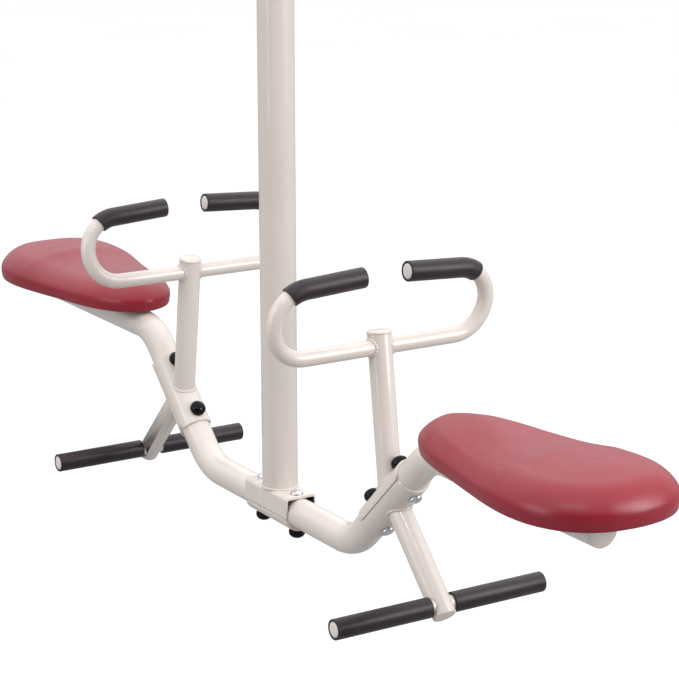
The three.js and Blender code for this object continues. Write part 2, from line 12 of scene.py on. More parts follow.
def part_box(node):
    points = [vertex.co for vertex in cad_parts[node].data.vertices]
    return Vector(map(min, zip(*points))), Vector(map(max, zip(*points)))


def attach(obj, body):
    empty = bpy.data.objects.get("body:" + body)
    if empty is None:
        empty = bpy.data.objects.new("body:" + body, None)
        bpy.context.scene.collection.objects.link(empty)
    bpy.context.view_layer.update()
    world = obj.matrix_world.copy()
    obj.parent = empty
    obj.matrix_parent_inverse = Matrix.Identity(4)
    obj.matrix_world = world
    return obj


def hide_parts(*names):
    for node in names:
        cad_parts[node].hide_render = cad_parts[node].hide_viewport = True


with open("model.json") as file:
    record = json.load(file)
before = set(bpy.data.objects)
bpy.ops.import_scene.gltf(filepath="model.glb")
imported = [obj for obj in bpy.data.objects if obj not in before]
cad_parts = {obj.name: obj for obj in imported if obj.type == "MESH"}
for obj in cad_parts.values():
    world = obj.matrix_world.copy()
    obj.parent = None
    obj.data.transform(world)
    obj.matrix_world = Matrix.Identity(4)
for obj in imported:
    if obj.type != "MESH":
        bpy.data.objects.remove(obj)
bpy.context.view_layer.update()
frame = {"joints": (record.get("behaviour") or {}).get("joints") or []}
scene = bpy.context.scene

# ---------------------------------------------------------------- sizes, in millimetres
GAP = 0.3
POST_R, POST_ABOVE_PIVOT = 30.15, 36
SLEEVE_R, SLEEVE_HALF = 21, 45
BUSH_R, BUSH_FLANGE = 15, 4
PIVOT_BOLT_R, HEX_FLATS, THREAD_PITCH = 10, 28.5, 2.5
PLATE_X, PLATE_Y, PLATE_T = 190, 150, 8
EAR_T, EAR_W, EAR_END_R = 8, 76, 28
TUBE_R, TUBE_BEND_R, TUBE_END_X = 25.4, 102, 866
SLOPE = math.radians(43.7)
KINK_X, RISE = 240, 207
SHELL_T, CLAMP_LEN, CLAMP_AT, CLAMP_BOLTS = 3.6, 150, 155, 107
SHELL_CORNER = 11
CENTRE_BOLTS, BRACKET_T, BRACKET_TOP_T, BRACKET_LEN, CENTRE_SHELL_T = 110, 3, 5, 138, 5.5
CLAMP_BOLT_R = 5
STEM_R, STEM_LEAN, STEM_TOP_Z = 19.05, 0.1353, 362
BAR_X, BAR_Z, BAR_R = 311, 341, 12.7
BAR_TILT, BAR_BEND = math.radians(7.2), math.radians(176.5)
BAR_BEND_R, BAR_STRAIGHT, BAR_INNER = 56, 136.5, 38
GRIP_R, GRIP_ARC = 16.2, math.radians(31)
FOOT_DROP, FOOT_HALF, ARM_PAST = 186, 188, 20
SEAT_NOSE_X, SEAT_REAR_X, BOARD_Z, BOARD_T = 470, 950, 236.2, 6
SEAT_BOLT_X, SEAT_BOLT_Y, CRADLE_HALF, CRADLE_X = 705, 44, 56, (560, 850)
SIDES = {"right": 1, "left": -1}

MM = 0.001
X, Y, Z = Vector((1, 0, 0)), Vector((0, 1, 0)), Vector((0, 0, 1))
# The seat tube's level run lies below the post by the bracket's top.
POST_FOOT = TUBE_R + GAP + BRACKET_TOP_T + GAP
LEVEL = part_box("main_post")[0].z - POST_FOOT * MM
PIVOT = Vector(frame["joints"][0]["pos_m"])
PIVOT_Z = (PIVOT.z - LEVEL) / MM
UP_DIR = Vector((math.cos(SLOPE), 0, math.sin(SLOPE)))
UP_NORMAL = Vector((-math.sin(SLOPE), 0, math.cos(SLOPE)))
CLAMP_MID = Vector((KINK_X, 0, 0)) + UP_DIR * CLAMP_AT
FOOT = CLAMP_MID - UP_NORMAL * FOOT_DROP

# ---------------------------------------------------------------- camera
cam_data = bpy.data.cameras.new("camera")
cam_data.sensor_fit, cam_data.sensor_width, cam_data.lens = "HORIZONTAL", 36, 119.1
cam_data.clip_end = 200
camera = bpy.data.objects.new("camera", cam_data)
scene.collection.objects.link(camera)
CAM_AT, CAM_TO = Vector((3.1264, -1.8136, LEVEL + 1.2174)), Vector((0.1921, 0, LEVEL + 0.3167))
aim = (CAM_TO - CAM_AT).to_track_quat("-Z", "Y").to_matrix().to_4x4()
camera.matrix_world = Matrix.Translation(CAM_AT) @ aim @ Matrix.Rotation(math.radians(-0.16), 4, "Z")
scene.camera = camera


# ---------------------------------------------------------------- material nodes
class Nodes:
    """A new Principled material and short ways to add nodes to it. Object coordinates are metres."""

    def __init__(self, name, **sockets):
        self.mat = bpy.data.materials.new(name)
        self.mat.use_nodes = True
        self.tree = self.mat.node_tree
        self.shader = self.tree.nodes["Principled BSDF"]
        for key, value in sockets.items():
            self.shader.inputs[key.replace("_", " ")].default_value = value
        self.where = self.tree.nodes.new("ShaderNodeTexCoord").outputs["Object"]

    def node(self, kind, **settings):
        made = self.tree.nodes.new("ShaderNode" + kind)
        for key, value in settings.items():
            setattr(made, key, value)
        return made

    def link(self, out, socket):
        self.tree.links.new(out, socket)

    def noise(self, scale, detail=2.0, rough=0.5, where=None):
        made = self.node("TexNoise")
        made.inputs["Scale"].default_value = scale
        made.inputs["Detail"].default_value = detail
        made.inputs["Roughness"].default_value = rough
        self.link(where or self.where, made.inputs["Vector"])
        return made.outputs["Fac"]

    def cells(self, scale, feature="F1"):
        made = self.node("TexVoronoi", feature=feature)
        made.inputs["Scale"].default_value = scale
        self.link(self.where, made.inputs["Vector"])
        return made.outputs["Distance"]

    def spread(self, value, low, high, a=0.3, b=0.7):
        """Maps a..b of value to low..high, held at both ends."""
        made = self.node("MapRange")
        for key, number in (("From Min", a), ("From Max", b), ("To Min", low), ("To Max", high)):
            made.inputs[key].default_value = number
        self.link(value, made.inputs["Value"])
        return made.outputs["Result"]

    def mix(self, value, one, two):
        made = self.node("Mix", data_type="RGBA")
        for socket, colour in ((made.inputs[6], one), (made.inputs[7], two)):
            socket.default_value = (*colour, 1)
        self.link(value, made.inputs[0])
        return made.outputs[2]

    def add(self, one, two, share):
        """one + two * share."""
        made = self.node("Math", operation="MULTIPLY_ADD")
        made.inputs[1].default_value = share
        self.link(two, made.inputs[0])
        self.link(one, made.inputs[2])
        return made.outputs[0]

    def colour(self, out):
        self.link(out, self.shader.inputs["Base Color"])

    def rough(self, out):
        self.link(out, self.shader.inputs["Roughness"])

    def bump(self, height, distance, strength=1.0):
        made = self.node("Bump")
        made.inputs["Strength"].default_value = strength
        made.inputs["Distance"].default_value = distance
        self.link(height, made.inputs["Height"])
        self.link(made.outputs["Normal"], self.shader.inputs["Normal"])


def powder_coat(name, light, dark):
    """Glossy powder coat: fine orange peel, and a slow drift of tone and gloss along the tube."""
    m = Nodes(name, Coat_Weight=0.7, Coat_Roughness=0.05, Specular_IOR_Level=0.5)
    m.colour(m.mix(m.spread(m.noise(7, 3), 0, 1), light, dark))
    m.rough(m.spread(m.noise(45, 2), 0.3, 0.4))
    m.bump(m.add(m.noise(420, 2), m.noise(1500, 1), 0.25), 0.00012, 0.35)
    return m.mat


def vinyl():
    """Smooth, taut upholstery vinyl: shallow leather grain under a soft gloss."""
    m = Nodes("red_vinyl", Specular_IOR_Level=0.42, Coat_Weight=0.15, Coat_Roughness=0.25)
    drift = m.add(m.noise(5, 2), m.noise(900, 2), 0.1)
    m.colour(m.mix(m.spread(drift, 0, 1, 0.3, 0.8), (0.235, 0.002, 0.015), (0.265, 0.004, 0.019)))
    m.rough(m.spread(m.noise(60, 3), 0.34, 0.4))
    grain = m.add(m.cells(1100, "SMOOTH_F1"), m.noise(2600, 2), 0.5)
    m.bump(grain, 0.00018, 0.3)
    return m.mat


def foam():
    """Closed-cell foam sleeve: soft sheen over tiny cells."""
    m = Nodes("black_foam", Specular_IOR_Level=0.4, Sheen_Weight=0.03, Sheen_Roughness=0.5)
    tone = m.spread(m.noise(60, 4), 0, 1)
    m.colour(m.mix(tone, (0.011, 0.004, 0.008), (0.021, 0.011, 0.017)))
    m.rough(m.spread(m.noise(300, 2), 0.33, 0.45))
    m.bump(m.add(m.cells(1500), m.noise(3500, 2), 0.6), 0.0002, 0.3)
    return m.mat


def metal(name, light, dark, rough):
    """Bright plating: faint blotches and fine scratches."""
    m = Nodes(name, Metallic=1.0)
    m.colour(m.mix(m.spread(m.noise(180, 3), 0, 1), light, dark))
    m.rough(m.spread(m.noise(500, 3), rough, rough + 0.14))
    m.bump(m.noise(2200, 3), 0.00005, 0.4)
    return m.mat


def plastic(name, light, dark, rough, grain=1400.0, depth=0.00004, shine=0.5):
    """Moulded plastic: a fine skin, with slight swirls of tone."""
    m = Nodes(name, Specular_IOR_Level=shine)
    m.colour(m.mix(m.spread(m.noise(90, 3), 0, 1), light, dark))
    m.rough(m.spread(m.noise(250, 2), rough, rough + 0.1))
    m.bump(m.noise(grain, 2), depth, 0.5)
    return m.mat


MATERIALS = {
    "cream_paint": powder_coat("cream_paint", (0.685, 0.615, 0.57), (0.665, 0.595, 0.55)),
    "hanger_steel": powder_coat("hanger_paint", (0.685, 0.615, 0.57), (0.65, 0.58, 0.535)),
    "zinc_plated_steel": metal("zinc_plate", (0.72, 0.73, 0.75), (0.6, 0.61, 0.64), 0.2),
    "black_gloss_cap": plastic("black_gloss", (0.0015, 0.001, 0.001), (0.003, 0.002, 0.002), 0.03,
                               shine=0.18),
    "black_foam": foam(),
    "white_plug": plastic("white_plug", (0.72, 0.66, 0.64), (0.67, 0.61, 0.59), 0.4),
    "red_vinyl": vinyl(),
    "seat_base": plastic("seat_base", (0.02, 0.017, 0.016), (0.032, 0.028, 0.026), 0.5, 500.0, 0.0003),
    "nylon": plastic("nylon", (0.018, 0.018, 0.021), (0.028, 0.028, 0.032), 0.4),
}


# Near-black material for the inside of the centre bracket's channel: painted shade for the dark gaps at its
# open ends.
PAINTED_SHADE_INSIDE = plastic("painted_shade_inside", (0.012, 0.011, 0.01), (0.025, 0.022, 0.02), 0.7, 500.0, 0.0002)


# ---------------------------------------------------------------- mesh code
def place(bm, side=1):
    """Millimetres about the seat tube to the row frame; side -1 turns it half round about Z."""
    turn = Matrix.Rotation(0 if side > 0 else math.pi, 4, "Z")
    bmesh.ops.transform(bm, matrix=Matrix.Translation((0, 0, LEVEL)) @ turn @ Matrix.Scale(MM, 4),
                        verts=bm.verts)
    return bm


def solid(name, bm, side=1, sharp=38):
    """Object from a closed bmesh in millimetres."""
    place(bm, side)
    bmesh.ops.recalc_face_normals(bm, faces=bm.faces)
    mesh = bpy.data.meshes.new(name)
    bm.to_mesh(mesh)
    bm.free()
    obj = bpy.data.objects.new(name, mesh)
    scene.collection.objects.link(obj)
    shade(obj, sharp)
    return obj


def shade(obj, sharp=38):
    obj.data.shade_smooth()
    obj.data.set_sharp_from_angle(angle=math.radians(sharp))


def loft(bm, rings, closed=False):
    """Skin over rings of equal length. A ring of one point is a tip; closed joins the last to the first."""
    made = [[bm.verts.new(p) for p in ring] for ring in rings]
    pairs = list(zip(made, made[1:]))
    if closed:
        pairs.append((made[-1], made[0]))
    for a, b in pairs:
        n = max(len(a), len(b))
        for i in range(n):
            j = (i + 1) % n
            corners = []
            for v in (a[i % len(a)], a[j % len(a)], b[j % len(b)], b[i % len(b)]):
                if v not in corners:
                    corners.append(v)
            bm.faces.new(corners)
    if not closed:
        for ring in (made[0], made[-1]):
            if len(ring) > 2:
                bm.faces.new(ring)
    return bm


def circle(at, along, radius, n, across):
    """Ring of n points round at, square to along; across fixes where it starts."""
    u = (across - along * across.dot(along)).normalized()
    v = along.cross(u)
    return [at + (u * math.cos(a) + v * math.sin(a)) * radius
            for a in (2 * math.pi * i / n for i in range(n))]


def walk(start, along, normal, moves, steps=26):
    """Path of (point, tangent): moves are ("s", length) or ("a", radius, angle) about normal."""
    at, path = start.copy(), [(start.copy(), along.copy())]
    for kind, size, *turn in moves:
        if kind == "s":
            at = at + along * size
            path.append((at.copy(), along.copy()))
            continue
        angle = turn[0]
        centre = at + normal.cross(along) * math.copysign(size, angle)
        arm, first = at - centre, along.copy()
        count = max(4, round(steps * abs(angle) / math.pi))
        for k in range(1, count + 1):
            spin = Matrix.Rotation(angle * k / count, 3, normal)
            at, along = centre + spin @ arm, spin @ first
            path.append((at.copy(), along.copy()))
    return path


def rounded_ends(path, radius, round_):
    """Stations (point, tangent, radius) along a path, with both end edges rounded over."""
    turn = [math.pi / 2 * k / 4 for k in range(5)]
    edge = [(round_ * (1 - math.sin(a)), radius - round_ * (1 - math.cos(a))) for a in turn]
    (p0, t0), (p1, t1) = path[0], path[-1]
    head = [(p0 + t0 * d, t0, r) for d, r in reversed(edge)]
    tail = [(p1 - t1 * d, t1, r) for d, r in edge]
    return head + [(p, t, radius) for p, t in path[1:-1]] + tail


def rod(path, radius, across, n=48, round_=0.6, inner=0.0, bm=None):
    """Bar along a path, or with inner a tube open at both ends."""
    bm = bm or bmesh.new()
    stations = rounded_ends(path, radius, round_)
    rings = [circle(p, t, r, n, across) for p, t, r in stations]
    if inner:
        rings += [circle(p, t, inner, n, across) for p, t in reversed(path)]
    return loft(bm, rings, closed=bool(inner))


def straight(a, b):
    along = (b - a).normalized()
    return [(a, along), (b, along)]


def turned(profile, at, along, n=48, bm=None):
    """Turned piece: profile of (radius, height), from the axis to the axis."""
    bm = bm or bmesh.new()
    across = X if abs(along.dot(X)) < 0.9 else Y
    rings = []
    for r, h in profile:
        point = at + along * h
        rings.append([point] if r < 1e-6 else circle(point, along, r, n, across))
    return loft(bm, rings)


def arc(cx, cy, r, a0, a1, n=6):
    """Points of a profile arc, degrees."""
    return [(cx + r * math.cos(math.radians(a0 + (a1 - a0) * k / n)),
             cy + r * math.sin(math.radians(a0 + (a1 - a0) * k / n))) for k in range(n + 1)]


def prism(outline, depth, to_world, round_=0.8, steps=2):
    """Extrudes a 2-D outline by depth with rounded rims. to_world maps (a, b, height)."""
    bm = bmesh.new()
    area = sum(p[0] * q[1] - q[0] * p[1] for p, q in zip(outline, outline[1:] + outline[:1]))
    turn = 1 if area > 0 else -1
    n = len(outline)

    def inset(d):
        ring = []
        for i in range(n):
            a, p, b = (Vector(outline[k % n]) for k in (i - 1, i, i + 1))
            e1, e2 = (p - a).normalized(), (b - p).normalized()
            n1, n2 = Vector((-e1.y, e1.x)) * turn, Vector((-e2.y, e2.x)) * turn
            m = n1 + n2
            m = m / max(m.dot(n1), 0.35) if m.length > 1e-6 else n1
            ring.append(p + m * d)
        return ring

    turns = [math.pi / 2 * k / steps for k in range(steps + 1)]
    low = [(round_ * (1 - math.cos(a)), round_ * (1 - math.sin(a))) for a in turns]
    rings = []
    for k in range(steps, -1, -1):
        d, h = low[k]
        rings.append([to_world(p.x, p.y, h) for p in inset(d)])
    for k in range(steps + 1):
        d, h = low[k]
        rings.append([to_world(p.x, p.y, depth - h) for p in inset(d)])
    return loft(bm, rings)


def boolean(obj, tool, operation):
    """Exact boolean of obj with tool, applied; tool is used up."""
    mod = obj.modifiers.new("cut", "BOOLEAN")
    mod.solver, mod.operation, mod.object = "EXACT", operation, tool
    graph = bpy.context.evaluated_depsgraph_get()
    mesh = bpy.data.meshes.new_from_object(obj.evaluated_get(graph))
    obj.modifiers.clear()
    old, obj.data = obj.data, mesh
    bpy.data.meshes.remove(old)
    bpy.data.objects.remove(tool)
    return obj


def join(obj, *others):
    """Adds the closed bodies of others to obj."""
    bm = bmesh.new()
    bm.from_mesh(obj.data)
    for other in others:
        bm.from_mesh(other.data)
        bpy.data.objects.remove(other)
    bm.to_mesh(obj.data)
    bm.free()
    return obj


def bead(points, radius, pitch=5.0, ripple=0.16):
    """Weld bead round a closed line: a small round section whose width ripples as it was laid."""
    n = len(points)
    gone, rings = 0.0, []
    centre = sum(points, Vector()) / n
    for i, p in enumerate(points):
        before, after = points[i - 1], points[(i + 1) % n]
        gone += (p - before).length if i else 0
        along = (after - before).normalized()
        wave = abs(math.sin(math.pi * gone / pitch))
        r = radius * (1 - ripple + ripple * 2 * wave)
        rings.append(circle(p, along, r, 10, p - centre))
    return loft(bmesh.new(), rings, closed=True)


CROSSING_POINTS = 120


def crossing(at, along, radius, thick_at, thick_along, thick_radius, out=0.0):
    """Closed line where a bar (at, along, radius) runs out through a thicker one's surface."""
    across = Y if abs(along.dot(Y)) < 0.9 else X
    line = []
    for p in circle(at, along, radius + out, CROSSING_POINTS, across):
        w = p - thick_at
        w -= thick_along * w.dot(thick_along)
        b = along - thick_along * along.dot(thick_along)
        qa, qb, qc = b.dot(b), 2 * w.dot(b), w.dot(w) - thick_radius ** 2
        root = math.sqrt(max(qb * qb - 4 * qa * qc, 0))
        line.append(p + along * ((root - qb) / (2 * qa)))
    return line


def dress(obj, nodes, body, slot):
    """Gives a finished piece its material and says what it stands for."""
    obj.data.materials.clear()
    obj.data.materials.append(MATERIALS[slot])
    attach(obj, body)
    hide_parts(*([nodes] if isinstance(nodes, str) else nodes))
    return obj


def glider(obj, node, slot="cream_paint"):
    return dress(obj, node, "glider", slot)


# ---------------------------------------------------------------- common hardware
def carriage_bolt(at, out, head_r, head_h, shank):
    """Round head with its shank; at is on the seating face and out points out of the head."""
    dome = [(0, head_h)] + [(head_r * s, head_h * (0.18 + 0.82 * math.sqrt(max(1 - s ** 2.4, 0))))
                            for s in (0.2, 0.4, 0.58, 0.74, 0.86, 0.94)]
    rim = [(head_r - 0.1, head_h * 0.3), (head_r, head_h * 0.2), (head_r, 0.25), (head_r - 0.25, 0)]
    tail = [(CLAMP_BOLT_R, 0), (CLAMP_BOLT_R, 1 - shank), (CLAMP_BOLT_R - 1, -shank), (0, -shank)]
    return turned(dome + rim + tail, at, out, 40)


def dome_cap(at, out):
    """Push-on domed nut cover with a rolled foot."""
    r, h = 14.0, 14.5
    dome = [(0, h)] + [(r * math.sin(a), 4.4 + (h - 4.4) * math.cos(a))
                       for a in (math.radians(d) for d in range(9, 91, 9))]
    foot = [(r, 1.0), (r - 0.25, 0.3), (r - 0.9, 0), (5.4, 0), (5.4, 9), (0, 9)]
    return turned(dome + foot, at, out, 48)


def end_plug(at, out):
    """White plug pushed into a bar, with a slightly domed face."""
    face = [(0, 2.9), (5, 2.82), (9, 2.5), (11.4, 1.95), (12.3, 1.3), (12.5, 0.7), (12.5, GAP)]
    return turned(face + [(10.2, GAP), (10.2, -12), (0, -12)], at, out, 40)


# ---------------------------------------------------------------- hanger and pivot
def box_outline(x0, x1, y0, y1, corner=0.0):
    if not corner:
        return [(x0, y0), (x1, y0), (x1, y1), (x0, y1)]
    x0, x1, y0, y1 = x0 + corner, x1 - corner, y0 + corner, y1 - corner
    return (arc(x1, y0, corner, -90, 0) + arc(x1, y1, corner, 0, 90)
            + arc(x0, y1, corner, 90, 180) + arc(x0, y0, corner, 180, 270))


TOP_Z = -LEVEL / MM                       # hanger plate's top face
EAR_Y = SLEEVE_HALF + GAP + BUSH_FLANGE + GAP
HOLES = [(x, y) for x in (-78, 78) for y in (-40, 40)]


def hanger():
    plate = solid("look_hanger_bracket", prism(
        box_outline(-PLATE_X / 2, PLATE_X / 2, -PLATE_Y / 2, PLATE_Y / 2), PLATE_T,
        lambda a, b, h: Vector((a, b, TOP_Z - PLATE_T + h)), 0.7))
    low = EAR_END_R
    edge = [(-EAR_W / 2 - 12, TOP_Z - PLATE_T + 1), (EAR_W / 2 + 12, TOP_Z - PLATE_T + 1)]
    ear = list(reversed(edge + arc(0, PIVOT_Z, low, 0, -180, 28)))
    for side in (-1, 1):
        start = EAR_Y if side > 0 else -EAR_Y - EAR_T
        body = prism(ear, EAR_T, lambda a, b, h, y=start: Vector((a, y + h, b)), 0.7)
        boolean(plate, solid("ear", body), "UNION")
    for x, y in HOLES:
        boolean(plate, solid("hole", rod(straight(Vector((x, y, TOP_Z - 30)), Vector((x, y, TOP_Z + 30))),
                                         6.5, X, 40)), "DIFFERENCE")
    boolean(plate, solid("hole", rod(straight(Vector((0, -90, PIVOT_Z)), Vector((0, 90, PIVOT_Z))),
                                     PIVOT_BOLT_R + GAP, X, 48)), "DIFFERENCE")
    beads = []
    for side in (-1, 1):                   # fillet welds along both faces of each ear
        for face in (EAR_Y, EAR_Y + EAR_T):
            line = []
            for k in range(61):
                x = -44 + 88 * k / 60
                line.append(Vector((x, side * face, TOP_Z - PLATE_T)))
            beads.append(solid("weld", seam(line, 2.4)))
    join(plate, *beads)
    shade(plate)
    dress(plate, "hanger_bracket", "hanger", "hanger_steel")


def seam(line, radius, pitch=5.0, ripple=0.16):
    """Weld bead along an open line, with rounded ends."""
    rings, gone = [], 0.0
    for i, p in enumerate(line):
        gone += (p - line[i - 1]).length if i else 0
        along = (line[min(i + 1, len(line) - 1)] - line[max(i - 1, 0)]).normalized()
        wave = abs(math.sin(math.pi * gone / pitch))
        end = min(i, len(line) - 1 - i) / 2
        r = radius * (1 - ripple + 2 * ripple * wave) * min(1, 0.45 + 0.55 * end)
        rings.append(circle(p, along, r, 10, Z))
    return loft(bmesh.new(), rings)


def hexagon(at, along, across_flats, height):
    """Hexagon with both rims turned to a chamfer."""
    r = across_flats / math.sqrt(3)
    rings = [circle(at, along, r, 6, X), circle(at + along * height, along, r, 6, X)]
    body = solid("hexagon", loft(bmesh.new(), rings))
    turn = [(0, height), (across_flats * 0.47, height), (r + 0.2, height - 1.7), (r + 0.2, 1.2),
            (across_flats * 0.5, 0), (0, 0)]
    return boolean(body, solid("chamfer", turned(turn, at, along)), "INTERSECT")


def pivot():
    y0 = EAR_Y + EAR_T + GAP
    at = Vector((0, -y0, PIVOT_Z))
    flange = [(0, -2), (20, 0), (20, 1.4), (19.3, 2.3), (16.5, 3.5), (0, 3.5)]
    bolt = solid("look_pivot_bolt", turned([(0, 0)] + flange[1:], at, -Y))
    boolean(bolt, hexagon(at - Y * 2.5, -Y, HEX_FLATS, 12.5), "UNION")
    thread = [(0, 2 * y0 + 26), (8.6, 2 * y0 + 26)]
    h = 2 * y0 + 24.6
    while h > 2 * y0 - 6:                   # threaded where the nut sits and beyond
        thread += [(PIVOT_BOLT_R, h), (PIVOT_BOLT_R - 1.2, h - THREAD_PITCH / 2)]
        h -= THREAD_PITCH
    shank = solid("shank", turned(thread + [(PIVOT_BOLT_R, h), (PIVOT_BOLT_R, -1), (0, -1)], at, Y))
    join(bolt, shank)
    shade(bolt, 30)
    dress(bolt, "pivot_bolt", "hanger", "zinc_plated_steel")
    at = Vector((0, y0, PIVOT_Z))
    nut = solid("look_pivot_nut", turned([(0, 0)] + flange[1:], at, Y))
    boolean(nut, hexagon(at + Y * 2, Y, HEX_FLATS, 19), "UNION")
    boolean(nut, solid("hole", rod(straight(at - Y * 9, at + Y * 60), PIVOT_BOLT_R + GAP, X)), "DIFFERENCE")
    shade(nut, 30)
    dress(nut, "pivot_nut", "hanger", "zinc_plated_steel")


# ---------------------------------------------------------------- post, centre clamp, seat tube
def post():
    top = PIVOT_Z + POST_ABOVE_PIVOT
    body = solid("look_main_post", rod(straight(Z * POST_FOOT, Z * top), POST_R, X, 96, 1.6))
    across = Vector((0, -80, PIVOT_Z)), Vector((0, 80, PIVOT_Z))
    boolean(body, solid("bore", rod(straight(*across), SLEEVE_R + GAP, X, 64)), "DIFFERENCE")
    beads = [solid("weld", bead(circle(Z * (POST_FOOT + 0.6), Z, POST_R + 0.3, 150, X), 1.8))]
    for side in (-1, 1):
        line = crossing(Vector((0, 0, PIVOT_Z)), Y * side, SLEEVE_R, Vector(), Z, POST_R, out=0.3)
        beads.append(solid("weld", bead(line, 2.4)))
    join(body, *beads)
    shade(body)
    glider(body, "main_post")
    rim = SLEEVE_HALF
    sleeve = rod(straight(Vector((0, -rim, PIVOT_Z)), Vector((0, rim, PIVOT_Z))), SLEEVE_R, X, 64, 0.8,
                 inner=BUSH_R + GAP)
    glider(solid("look_pivot_sleeve", sleeve), "pivot_sleeve")
    for node, side in (("pivot_bushing_front", -1), ("pivot_bushing_back", 1)):
        out = SLEEVE_HALF + GAP
        profile = [(PIVOT_BOLT_R + GAP, 15), (BUSH_R - 0.8, 15), (BUSH_R, 16), (BUSH_R, out),
                   (SLEEVE_R - 1.5, out), (SLEEVE_R - 1, out + 0.5), (SLEEVE_R - 1, out + BUSH_FLANGE - 0.6),
                   (SLEEVE_R - 1.6, out + BUSH_FLANGE), (PIVOT_BOLT_R + GAP, out + BUSH_FLANGE)]
        rings = [circle(Vector((0, side * h, PIVOT_Z)), Y * side, r, 48, X) for r, h in profile]
        glider(solid("look_" + node, loft(bmesh.new(), rings, closed=True)), node, "nylon")


def shell_grid(mid, along, out, length, wall, edge, corner=SHELL_CORNER, n=48):
    """Half shell round the tube: rounded corners in plan, softened rims, closed all round."""
    ri, ro, soft = TUBE_R + GAP, TUBE_R + GAP + wall, 0.9
    side = out.cross(along)
    half = math.pi / 2 - math.asin(edge / ri)
    reach = half * ro                     # half width measured round the shell
    bm = bmesh.new()

    def station(w):                       # w runs -1..1 round the shell
        near = reach * (1 - abs(w))
        cut_ = corner - math.sqrt(max(corner ** 2 - max(corner - near, 0) ** 2, 0))
        return length / 2 - cut_, near

    ws = [math.sin(math.pi / 2 * k / n) for k in range(-n, n + 1)]
    drops = [0.0, 0.15, 0.45, 0.9]
    rows = []
    for w in ws:
        end, near = station(w)
        angle = half * w
        ray = out * math.cos(angle) + side * math.sin(angle)
        row = []
        spots = [end - d for d in drops] + [end - 12, 0, -(end - 12)] + [-(end - d) for d in reversed(drops)]
        for s in spots:
            d = min(end - abs(s), near)
            drop = soft - math.sqrt(max(soft ** 2 - max(soft - d, 0) ** 2, 0))
            row.append(mid + along * s + ray * (ro - drop))
        inner = [mid + along * s + ray * ri for s in reversed(spots)]
        rows.append(row + inner)
    return loft(bm, rows)


def centre_clamp():
    o, top, i, r = TUBE_R + GAP + BRACKET_T, TUBE_R + GAP + BRACKET_TOP_T, TUBE_R + GAP, 7.5
    low = -5.5
    outline = ([(o, low)] + arc(o - r, top - r, r, 0, 90, 10) + arc(-o + r, top - r, r, 90, 180, 10)
               + [(-o, low), (-i, low)] + arc(-i + 3, i - 3, 3, 180, 90, 4)
               + arc(i - 3, i - 3, 3, 90, 0, 4) + [(i, low)])
    half = BRACKET_LEN / 2
    bracket = prism(outline, BRACKET_LEN, lambda a, b, h: Vector((h - half, a, b)), 0.5)
    bracket = solid("look_centre_bracket", bracket)
    glider(bracket, "centre_bracket")
    bracket.data.materials.append(PAINTED_SHADE_INSIDE)
    for face in bracket.data.polygons:       # the channel's inside gets the near-black material: painted shade, so the gaps at the open ends read dark
        y, z = face.center.y / MM, (face.center.z - LEVEL) / MM
        face.material_index = int(abs(y) < i + 0.2 and low + 0.2 < z < i + 0.2
                                  and abs(face.center.x) / MM < half - 0.6)
    saddle = shell_grid(Vector(), X, -Z, BRACKET_LEN - 2, CENTRE_SHELL_T, 6.8)
    glider(solid("look_centre_saddle", saddle), "centre_saddle")
    top_face = top + GAP
    low_face = -(TUBE_R + GAP + CENTRE_SHELL_T) / math.cos(math.pi / 16)
    for tag, x in (("left", -CENTRE_BOLTS / 2), ("right", CENTRE_BOLTS / 2)):
        bolt = carriage_bolt(Vector((x, 0, top_face)), Z, 11, 6, top_face - low_face + 8)
        glider(solid("look_centre_bolt_" + tag, bolt), "centre_bolt_" + tag, "zinc_plated_steel")
        cap = dome_cap(Vector((x, 0, low_face - GAP)), -Z)
        glider(solid("look_centre_cap_" + tag, cap), "centre_cap_" + tag, "black_gloss_cap")


def seat_tube():
    tangent = TUBE_BEND_R * math.tan(SLOPE / 2)
    top_x = KINK_X + RISE / math.tan(SLOPE)
    rise = ("s", RISE / math.sin(SLOPE) - 2 * tangent)
    flat = ("s", TUBE_END_X - top_x - tangent)
    down, up = ("a", TUBE_BEND_R, SLOPE), ("a", TUBE_BEND_R, -SLOPE)
    path = walk(Vector((-TUBE_END_X, 0, RISE)), X, Y,
                [flat, down, rise, up, ("s", 2 * (KINK_X - tangent)), up, rise, down, flat], 80)
    glider(solid("look_seat_tube", rod(path, TUBE_R, Y, 72, 0.5)), "seat_tube")


# ---------------------------------------------------------------- one rider's side
STEM_AXIS = Vector((-STEM_LEAN, 0, 1)).normalized()


def ends_of(s):
    """The two ends across the swing: the front is -Y once side s is turned into place."""
    return ((-s, "front"), (s, "back"))


def stem_at(z):
    return Vector((BAR_X - STEM_LEAN * (z - BAR_Z), 0, z))


def tube_space():
    """The tube's own room along the slope, cut from what is welded to the shells."""
    a, b = CLAMP_MID - UP_DIR * 140, CLAMP_MID + UP_DIR * 140
    return rod(straight(a, b), TUBE_R + GAP, Y, 72)


